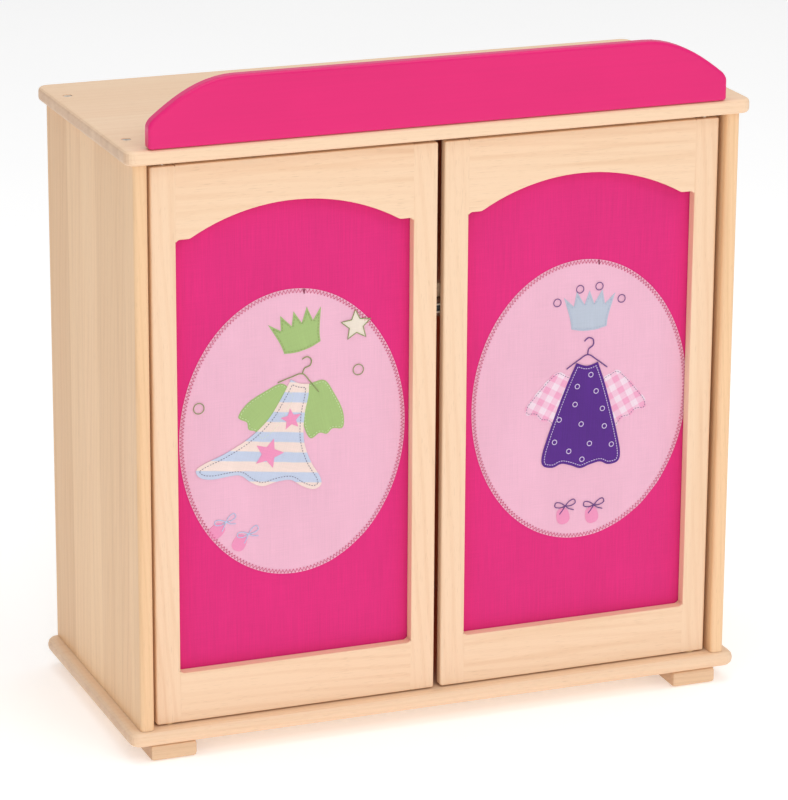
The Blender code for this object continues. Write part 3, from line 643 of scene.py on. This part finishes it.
def zigzag(path, width, period):
    """A zigzag about a closed path, as one closed run."""
    steps = walk(path, period / 2)
    if len(steps) % 2:
        steps = walk(path, period / 2 * len(steps) / (len(steps) + 1))
    out = []
    for i, (p, d) in enumerate(steps):
        side = width / 2 if i % 2 else -width / 2
        out.append((p.x - d.y * side, p.y + d.x * side))
    return out


def turned_area(outline):
    """The area, below zero where the outline runs clockwise."""
    return sum(a[0] * b[1] - b[0] * a[1] for a, b in zip(outline, outline[1:] + outline[:1])) / 2


def anticlockwise(outline):
    return outline if turned_area(outline) > 0 else list(reversed(outline))


# Thread


def tube(shape, points, radius, sides=6, closed=False):
    """Adds a round tube along points to a bmesh, with closed ends."""
    rings = []
    count = len(points)
    for i, p in enumerate(points):
        before = points[i - 1] if i or closed else p
        after = points[(i + 1) % count] if i + 1 < count or closed else p
        ahead = (after - before).normalized()
        side = ahead.cross(Vector((0.0, 1.0, 0.0))).normalized()
        up = side.cross(ahead).normalized()
        ring = []
        for k in range(sides):
            turn = tau * k / sides
            ring.append(shape.verts.new(p + side * (radius * cos(turn)) + up * (radius * sin(turn))))
        rings.append(ring)
    spans = zip(rings, rings[1:] + rings[:1]) if closed else zip(rings, rings[1:])
    for a, b in spans:
        for k in range(sides):
            shape.faces.new((a[k], a[(k + 1) % sides], b[(k + 1) % sides], b[k]))
    if not closed:
        shape.faces.new(list(reversed(rings[0])))
        shape.faces.new(rings[-1])


def stitch_object(name, door, runs, radius, layer, material, spot, closed=False):
    """Thread tubes along runs of flat places, a layer above the cloth. They ride on the door."""
    shape = bmesh.new()
    for run in runs:
        line = [Vector((x, door.front(*spot.on_door(x, z), layer), z)) for x, z in run]
        tube(shape, line, radius, closed=closed)
    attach(finish_mesh(shape, name, material, spot, sharp=80), door.name)


# The cloth panel and the oval

PANEL_EDGE_STEP, PANEL_SPACING = 0.006, 0.0030
OVAL_STEPS, OVAL_SPACING = 160, 0.0040
SEAM_INSET, SEAM_RADIUS, SEAM_LIFT = 0.0020, 0.00038, 0.00016
ZIGZAG_WIDTH = ZIGZAG_PERIOD = 0.0032
SEAM_END_RADIUS, SEAM_END_LIFT = 0.0006, 0.0005
SEAM_END_FROM, SEAM_END_TO, SEAM_END_LEAN = 0.0002, 0.0042, 0.0003  # below the oval's rim, and sideways
# Each oval's middle and its width and height
OVALS = {"left_door": (-0.1279, 0.2708, 0.2004, 0.250), "right_door": (0.1341, 0.2708, 0.2012, 0.250)}
# Where the zigzag seam starts and ends, right of the oval's middle
SEAM_START = {"left_door": 0.0096, "right_door": 0.0150}


def declare(obj, door):
    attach(obj, door.name)


def build_panel(door, material):
    """The stretched cloth behind the opening."""
    low, high = door.low, door.high
    rect = [(low.x, low.z), (high.x, low.z), (high.x, high.z), (low.x, high.z)]
    edge = []
    for (ax, az), (bx, bz) in zip(rect, rect[1:] + rect[:1]):
        count = round(hypot(bx - ax, bz - az) / PANEL_EDGE_STEP)
        edge += [(ax + (bx - ax) * k / count, az + (bz - az) * k / count) for k in range(count)]
    name = f"{door.name}_cloth"
    piece = sheet_object(name, door, edge, PANEL_SPACING, PANEL_THICKNESS, 0.0, material)
    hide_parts(f"{door.name}_fabric_panel")
    declare(piece, door)


def build_oval(door, material, seam, dark):
    """The pale oval, the zigzag around its edge, and the thick end of the zigzag at the top."""
    x, z, width, height = OVALS[door.name]
    spot = Spot(x, z)
    outline = ellipse(width, height, OVAL_STEPS)
    name = f"{door.name}_oval"
    oval = sheet_object(name, door, outline, OVAL_SPACING, PATCH_THICKNESS, PATCH_STEP, material, spot)
    declare(oval, door)
    run = zigzag(inset(outline, SEAM_INSET), ZIGZAG_WIDTH, ZIGZAG_PERIOD)
    layer = PATCH_STEP + SEAM_LIFT
    stitch_object(f"{name}_zigzag", door, [run], SEAM_RADIUS, layer, seam, spot, closed=True)
    start = SEAM_START[door.name]
    rim = height / 2 * (1 - (2 * start / width) ** 2) ** 0.5
    mark = [(start, rim - SEAM_END_FROM), (start + SEAM_END_LEAN, rim - SEAM_END_TO)]
    layer = PATCH_STEP + SEAM_END_LIFT
    stitch_object(f"{name}_seam_end", door, [mark], SEAM_END_RADIUS, layer, dark, spot)


# Motifs: plain clothes, crowns and stars, in millimetres. An outline's third value marks a corner.

MOTIF_SPACING = 0.0032
SUNK_SHARE = 0.4  # how far up its radius a thread's middle lies
OUTLINE_STEPS = 5

CROWN = mirrored([
    (0, 19, 1), (4.5, 7, 1), (12, 19, 1), (14.5, 6, 1), (24, 15, 1),
    (18, -4), (16.5, -14, 1), (8, -16), (0, -16.5),
])
# Its skirt swings to one side.
STRIPED_DRESS = [
    (0, -1.5), (8.5, 0, 1), (11, -10), (13, -28), (19, -48), (30, -64), (43, -76), (46, -83), (40, -88),
    (29, -87), (18, -84), (6, -88), (-5, -94), (-16, -93), (-27, -89), (-38, -92), (-50, -97), (-61, -98),
    (-67, -93), (-62, -86), (-47, -74), (-30, -57), (-18, -38), (-12, -18), (-8.5, 0, 1),
]
PLAIN_DRESS = mirrored([
    (0, -3), (10, 0, 1), (17, -17), (25, -40), (33, -66), (37, -83), (35, -91),
    (26, -93), (18, -90), (9, -92), (0, -95),
])
SLEEVE = mirrored([(0, 22), (8, 21), (13, 10), (17, -6), (19, -18), (15, -24), (7, -21), (0, -23)])
PUFF = mirrored([(0, 25), (9, 23), (14, 10), (18, -8), (15, -22), (6, -20), (0, -23)])
SLIPPER = mirrored([(0, 7.5), (4.5, 5.5), (6, 0), (5.5, -4.5), (3, -7), (0, -7.5)])
BOW_LOOPS = [
    (0, 0, 1), (4, 3.5), (8.5, 4.5), (9.5, 1), (5, -0.8), (0, 0, 1),
    (-5, -0.8), (-9.5, 1), (-8.5, 4.5), (-4, 3.5), (0, 0, 1),
]
BOW = (BOW_LOOPS, [(0, 0), (3, -3), (7.5, -5)], [(0, 0), (-3, -3.5), (-6, -6.5)])
HANGER_BAR = [(-19, -5), (-9, 2), (0, 7), (9, 2), (19, -5)]
HANGER = (HANGER_BAR, [(0, 7), (0.5, 12), (4.5, 15.5), (4, 20.5), (-0.5, 22), (-4, 19)])
DRESS_RINGS = (
    (4, -11), (-8, -21), (10, -26), (-9, -37), (17, -42), (-23, -50), (-2, -55),
    (20, -58), (-26, -70), (-12, -79), (7, -73), (28, -75), (1, -87),
)
CROWN_RINGS = ((-23, 89), (-2, 99), (16, 100), (37, 87))


class Motifs:
    """Sews one door's motifs on its oval. Places are millimetres from the oval's middle."""

    def __init__(self, door):
        self.door = door

    def spot(self, place, turn):
        x, z = OVALS[self.door.name][:2]
        return Spot(x + place[0] * MM, z + place[1] * MM, turn)

    def depth(self, level):
        return PATCH_STEP * (level + 1)

    def patch(self, name, points, material, place, turn=0.0, level=1, steps=OUTLINE_STEPS, on=("oval",)):
        """A cut piece of cloth on the given level. on names what is under it, and is not used."""
        outline = anticlockwise(smooth_outline(points, steps))
        name = f"{self.door.name}_{name}"
        depth, spot = self.depth(level), self.spot(place, turn)
        piece = sheet_object(name, self.door, outline, MOTIF_SPACING, PATCH_THICKNESS, depth, material, spot)
        declare(piece, self.door)

    def sew(self, name, runs, material, place, turn=0.0, level=1, radius=0.00030, closed=False):
        """Thread along runs of places in metres, in the motif's own frame."""
        name = f"{self.door.name}_{name}"
        depth = self.depth(level) + radius * SUNK_SHARE
        stitch_object(name, self.door, runs, radius, depth, material, self.spot(place, turn), closed)

    def hem(self, name, points, material, place, turn=0.0, level=1, distance=0.0016,
            dash=(0.0016, 0.0012), radius=0.00027):
        """A running stitch a little way inside an outline, each dash with its length and gap."""
        outline = anticlockwise(smooth_outline(points, OUTLINE_STEPS))
        self.sew(name, dashes(inset(outline, distance), *dash), material, place, turn, level, radius)

    def line(self, name, shapes, material, place, turn, radius, steps=6):
        """Thread along open curves."""
        runs = [smooth_outline(shape, steps, closed=False) for shape in shapes]
        self.sew(name, runs, material, place, turn, 1, radius)

    def rings(self, name, radius, places, material, place, turn, level, thread_radius, steps=14):
        runs = [smooth_outline(circle(radius, at, steps), 2) for at in places]
        self.sew(name, runs, material, place, turn, level, thread_radius, closed=True)


def left_motifs(sewn, look):
    """A striped dress with puff sleeves on a hanger, a crown, a star and a pair of slippers."""
    place, turn = (6, 44), -0.31
    for name, spot, lean in (("left_sleeve", (-22, 22), -0.85), ("right_sleeve", (25, 18), 0.22)):
        sewn.patch(name, PUFF, look["green"], spot, lean)
        sewn.hem(f"{name}_stitch", PUFF, look["pale_green_thread"], spot, lean)
    under = ("oval", "left_sleeve", "right_sleeve")
    sewn.patch("dress", STRIPED_DRESS, look["striped"], place, turn, 2, on=under)
    sewn.hem("dress_stitch", STRIPED_DRESS, look["grey_thread"], place, turn, 2, 0.0032, (0.0013, 0.0012))
    for name, spot, size, lean in (("upper", (-2, 12), 9.5, 0.1), ("lower", (-22, -16), 13.5, -0.35)):
        sewn.patch(f"{name}_dress_star", star(size), look["rose"], spot, lean, 3, 3, on=("dress",))
    sewn.line("hanger", HANGER, look["green_thread"], place, turn, 0.00050)
    place, turn = (5, 87), 0.24
    sewn.patch("crown", CROWN, look["green"], place, turn)
    sewn.hem("crown_stitch", CROWN, look["green_thread"], place, turn, distance=0.0014)
    place, turn = (56, 88), 0.05
    sewn.patch("star", star(13.2), look["cream"], place, turn, steps=3)
    rim = anticlockwise(smooth_outline(star(13.8), 3))
    sewn.sew("star_rim", [rim], look["green_thread"], place, turn, radius=0.00042, closed=True)
    for name, spot in (("left_ring", (-83, 30)), ("right_ring", (58, 49))):
        sewn.rings(name, 4.6, [(0, 0)], look["green_thread"], spot, 0.0, 1, 0.00040)
    for name, spot, lean in (("left", (-68, -79), -0.9), ("right", (-48, -92), -0.5)):
        sewn.patch(f"{name}_slipper", SLIPPER, look["rose"], spot, lean)
        bow_spot = (spot[0] + 8, spot[1] + 7)
        sewn.line(f"{name}_bow", BOW, look["blue_thread"], bow_spot, 0.3, 0.00036, 4)


def right_motifs(sewn, look):
    """A plain dress with checked sleeves on a hanger, a crown and a pair of slippers with bows."""
    place, turn = (6, 33), -0.05
    for name, spot, lean in (("left_sleeve", (-25, 5), -0.52), ("right_sleeve", (37, 1), 0.46)):
        sewn.patch(name, SLEEVE, look["checked"], spot, lean)
        dash = (0.0014, 0.0011)
        sewn.hem(f"{name}_stitch", SLEEVE, look["grey_thread"], spot, lean, 1, 0.0014, dash, 0.00022)
    under = ("oval", "left_sleeve", "right_sleeve")
    sewn.patch("dress", PLAIN_DRESS, look["purple"], place, turn, 2, on=under)
    dash = (0.0014, 0.0009)
    sewn.hem("dress_stitch", PLAIN_DRESS, look["lilac_thread"], place, turn, 2, 0.0026, dash, 0.00034)
    sewn.rings("dress_rings", 2.1, DRESS_RINGS, look["lilac_thread"], place, turn, 2, 0.00040, 8)
    sewn.line("hanger", HANGER, look["purple_thread"], place, turn, 0.00055)
    place = (7, 78)
    sewn.patch("crown", CROWN, look["silver_blue"], place)
    sewn.hem("crown_stitch", CROWN, look["silver_thread"], place, distance=0.0014)
    sewn.rings("crown_rings", 3.4, CROWN_RINGS, look["purple_thread"], (0, 0), 0.0, 1, 0.00034)
    for name, spot in (("left", (-14, -104)), ("right", (13, -106))):
        sewn.patch(f"{name}_slipper", SLIPPER, look["rose"], spot, 0.2)
        bow_spot = (spot[0] + 2, spot[1] + 9)
        sewn.line(f"{name}_bow", BOW, look["purple_thread"], bow_spot, 0.1, 0.00042, 4)


THREADS = {
    "green_thread": (0.27, 0.33, 0.11),
    "pale_green_thread": (0.62, 0.76, 0.42),
    "grey_thread": (0.13, 0.12, 0.20),
    "blue_thread": (0.52, 0.66, 0.88),
    "lilac_thread": (0.70, 0.58, 0.84),
    "purple_thread": (0.13, 0.035, 0.24),
    "silver_thread": (0.44, 0.50, 0.66),
}
COTTONS = {
    "green": (0.385, 0.545, 0.205),
    "rose": (0.87, 0.31, 0.52),
    "cream": (0.86, 0.77, 0.66),
    "silver_blue": (0.51, 0.57, 0.67),
}


def motif_looks():
    """The motifs' materials by name."""
    bands = stripes((0.90, 0.735, 0.67), (0.565, 0.640, 0.80), 0.0087, 0.18)
    checks = gingham((0.90, 0.72, 0.82), (0.88, 0.40, 0.59), 0.0058)
    looks = {
        "striped": cloth("striped_cotton", slub=0.04, pattern=bands),
        "checked": cloth("checked_cotton", slub=0.04, pattern=checks),
        "purple": cloth("purple_cotton", (0.100, 0.026, 0.250), slub=0.10),
    }
    for name, colour in COTTONS.items():
        looks[name] = cloth(f"{name}_cotton", colour, slub=0.05 if name == "green" else 0.04)
    for name, colour in THREADS.items():
        looks[name] = thread(name, colour)
    return looks


# Joints of the door frames, closed with glue

# A filler's section, across from the stile's inner face and in from its front: the 0.3 mm gap and the 0.8 mm
# eased edge, nearly flush
GLUE_SECTION = (
    (-0.00028, 0.00003), (0.00070, 0.00003), (0.00021, 0.00021),
    (-0.00002, 0.00078), (-0.00002, 0.0040), (-0.00028, 0.0040),
)
GLUE_TRIM = 0.0009


def add_prism(shape, low_ring, high_ring):
    """Adds a closed prism between two rings of places to a bmesh."""
    low, high = ([shape.verts.new(p) for p in ring] for ring in (low_ring, high_ring))
    for k in range(len(low)):
        following = (k + 1) % len(low)
        shape.faces.new((low[k], low[following], high[following], high[k]))
    shape.faces.new(high)
    shape.faces.new(list(reversed(low)))


def build_glue_lines(door):
    """Fills the gap between each rail and stile, and the stile's eased edge there."""
    for stile in ("outer_stile", "inner_stile"):
        low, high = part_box(f"{door.name}_{stile}")
        side = 1 if low.x > door.middle else -1
        face = low.x if side > 0 else high.x
        shape = bmesh.new()
        for rail in ("top_rail", "bottom_rail"):
            rail_low, rail_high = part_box(f"{door.name}_{rail}")
            levels = (rail_low.z + GLUE_TRIM, rail_high.z - GLUE_TRIM)
            rings = [[(face + side * x, low.y + y, z) for x, y in GLUE_SECTION] for z in levels]
            add_prism(shape, *rings)
        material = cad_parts[f"{door.name}_{stile}"].material_slots[0].material
        filler = finish_mesh(shape, f"{door.name}_{stile}_glue", material, sharp=30)
        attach(filler, door.name)


# Floor, light and camera

# The camera, from the photo's perspective: its place in metres, its aim in degrees, its lens in millimetres
CAMERA_PLACE = (-1.2074, -3.0966, 1.3063)
CAMERA_HEADING, CAMERA_PITCH, CAMERA_ROLL = 21.34855, -17.55907, 0.33366
CAMERA_LENS, CAMERA_SENSOR = 179.916, 36.0
LIGHT_TARGET = (0.0, 0.0, 0.28)
WORLD_STRENGTH = 0.55
FLOOR_REACH, FLOOR_LEVEL, FLOOR_GLOW = 8.0, -0.0003, 0.30


def area_light(name, place, target, size, power, colour=(1.0, 1.0, 1.0)):
    data = bpy.data.lights.new(name, "AREA")
    data.shape = "RECTANGLE"
    data.size, data.size_y = size
    data.energy = power
    data.color = colour
    obj = bpy.data.objects.new(name, data)
    bpy.context.scene.collection.objects.link(obj)
    obj.location = place
    obj.rotation_mode = "QUATERNION"
    obj.rotation_quaternion = (Vector(place) - Vector(target)).to_track_quat("Z", "Y")
    return obj


def build_floor():
    """A white floor that glows a little, so that it ends in white as the photo's ground does."""
    t = Tree("studio_floor")
    mottle = t.ramp(t.noise(t.position(), cells(3.0)), 0.3, 0.7)
    t.finish(
        Base_Color=t.mix(mottle, rgb(0.94, 0.94, 0.94), rgb(0.93, 0.93, 0.93)),
        Roughness=0.8,
        Emission_Color=rgb(1.0, 1.0, 1.0),
        Emission_Strength=FLOOR_GLOW,
    )
    signs = ((-1, -1), (1, -1), (1, 1), (-1, 1))
    corners = [(x * FLOOR_REACH, y * FLOOR_REACH, FLOOR_LEVEL) for x, y in signs]
    mesh = bpy.data.meshes.new("studio_floor")
    mesh.from_pydata(corners, [], [(0, 1, 2, 3)])
    mesh.materials.append(t.material)
    floor = bpy.data.objects.new("studio_floor", mesh)
    bpy.context.scene.collection.objects.link(floor)


def build_lights():
    world = bpy.data.worlds.new("studio")
    world.use_nodes = True
    background = world.node_tree.nodes["Background"]
    background.inputs["Color"].default_value = rgb(1.0, 1.0, 1.0)
    background.inputs["Strength"].default_value = WORLD_STRENGTH
    bpy.context.scene.world = world
    area_light("key", (0.9, -3.0, 3.0), LIGHT_TARGET, (1.8, 1.5), 27.0)
    area_light("fill", (-1.05, -3.15, 1.5), LIGHT_TARGET, (0.7, 0.7), 12.5, (1.0, 0.95, 0.90))
    area_light("overhead", (0.0, -0.2, 3.2), LIGHT_TARGET, (2.6, 2.6), 28.5)
    # Daylight that the pink cloth lets through to the inside
    place, target = (0.0, -0.085, 0.27), (0.0, 0.1, 0.27)
    glow = area_light("cloth_glow", place, target, (0.46, 0.40), 0.06, (1.0, 0.12, 0.03))
    glow.visible_camera = False
    glow.visible_glossy = False


def build_camera():
    data = bpy.data.cameras.new("photo_camera")
    data.sensor_width = CAMERA_SENSOR
    data.lens = CAMERA_LENS
    data.clip_start, data.clip_end = 0.1, 50.0
    camera = bpy.data.objects.new("photo_camera", data)
    bpy.context.scene.collection.objects.link(camera)
    heading = Matrix.Rotation(radians(-CAMERA_HEADING), 4, "Z")
    pitch = Matrix.Rotation(radians(90 + CAMERA_PITCH), 4, "X")
    roll = Matrix.Rotation(radians(CAMERA_ROLL), 4, "Z")
    camera.matrix_world = Matrix.Translation(CAMERA_PLACE) @ heading @ pitch @ roll
    bpy.context.scene.camera = camera
    bpy.context.scene.view_settings.view_transform = "Standard"


def main():
    dress_frame()
    pink = cloth("pink_cotton", (0.750, 0.026, 0.208), slub=0.07)
    pale = cloth("pale_pink_cotton", (0.860, 0.490, 0.63), slub=0.04)
    seam = thread("magenta_thread", (0.60, 0.004, 0.13))
    dark = thread("dark_magenta_thread", (0.22, 0.006, 0.06))
    looks = motif_looks()
    for name, sew_motifs in (("left_door", left_motifs), ("right_door", right_motifs)):
        door = Door(name)
        build_panel(door, pink)
        build_glue_lines(door)
        build_oval(door, pale, seam, dark)
        sew_motifs(Motifs(door), looks)
    build_floor()
    build_lights()
    build_camera()


main()
